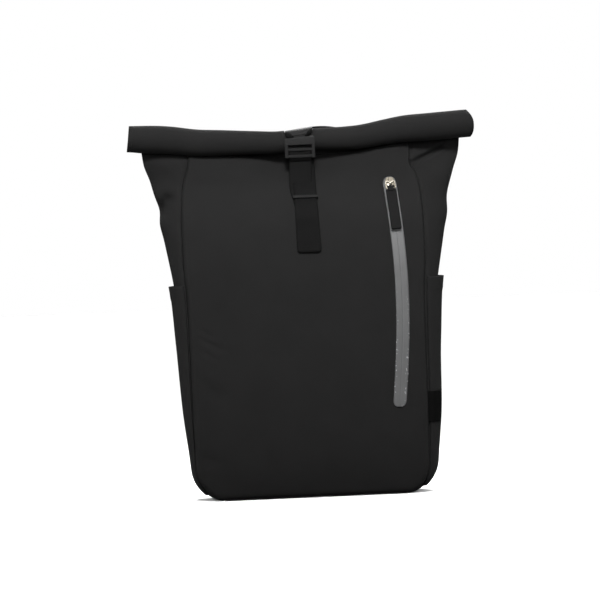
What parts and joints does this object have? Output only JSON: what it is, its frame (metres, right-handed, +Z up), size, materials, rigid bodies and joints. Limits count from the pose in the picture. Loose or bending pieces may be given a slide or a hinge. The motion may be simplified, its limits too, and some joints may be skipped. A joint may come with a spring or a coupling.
{
  "type": "roll-top backpack",
  "caption": "Upright cloth backpack whose top rolls down and buckles at the front, with a front zip, side pockets, a grab handle and padded shoulder straps.",
  "frame": {"origin": "on the floor under the middle of the bag's box, which it stands on", "axes": "+Z up, -Y out of the front, which has the zip and the buckle, +X to the right as seen from the front"},
  "size_m": [0.397, 0.1676, 0.4354],
  "materials": {
    "cloth": "matte fine weave, charcoal",
    "webbing": "ribbed flat webbing, black",
    "plastic": "satin moulded, dark grey",
    "reflective": "grey coated tape with a soft sheen",
    "metal": "bright warm nickel",
    "rubber": "matte black",
    "label": "bare black woven tab"
  },
  "bodies": {
    "bag": {"front_panel": "cloth", "back_panel": "cloth", "base_panel": "cloth", "roll_top": "cloth", "gusset_left": "cloth", "gusset_right": "cloth", "side_pocket_left": "cloth", "side_pocket_right": "cloth", "side_label": "label", "zip_tape": "reflective", "zip_slider": "metal", "buckle_male": "plastic", "buckle_female": "plastic", "front_strap": "webbing", "strap_keeper": "plastic", "top_strap": "webbing", "grab_handle": "webbing", "shoulder_strap_left": "cloth", "shoulder_strap_right": "cloth", "strap_adjuster_left": "plastic", "strap_adjuster_right": "plastic", "strap_webbing_left": "webbing", "strap_webbing_right": "webbing"},
    "puller": {"pull_link": "metal", "pull_tab": "rubber"}
  },
  "joints": [
    {"name": "puller_swing", "type": "hinge", "parent": "bag", "child": "puller", "pos_m": [0.09871, -0.05485, 0.35648], "axis": [-0.9974, -0.0395, -0.0599], "range_deg": [0, 155]}
  ]
}
